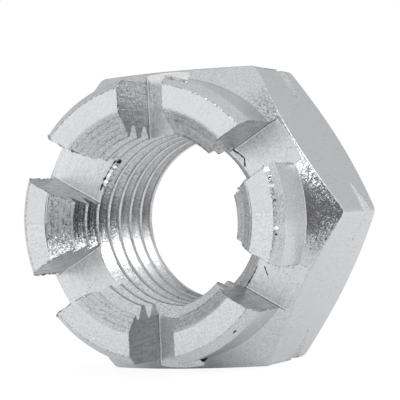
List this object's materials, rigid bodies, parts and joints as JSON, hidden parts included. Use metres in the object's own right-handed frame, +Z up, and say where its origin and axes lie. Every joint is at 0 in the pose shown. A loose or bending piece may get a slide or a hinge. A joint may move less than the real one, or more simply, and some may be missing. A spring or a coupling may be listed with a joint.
{
  "type": "castle nut",
  "caption": "Hexagon castle nut with a threaded bore and a round slotted crown at one end for a split pin.",
  "frame": {"origin": "under the middle of the nut, on the surface that its lowest flat rests on", "axes": "+Z up from the flat it stands on, +Y along the thread axis out of the bearing face, so the slotted crown faces -Y; corners of the hexagon point along +X and -X"},
  "size_m": [0.0412, 0.0262, 0.036],
  "materials": {
    "zinc_plated_steel": "bright zinc plate over machined steel, satin"
  },
  "bodies": {
    "root": {"castle_nut": "zinc_plated_steel"}
  },
  "joints": []
}
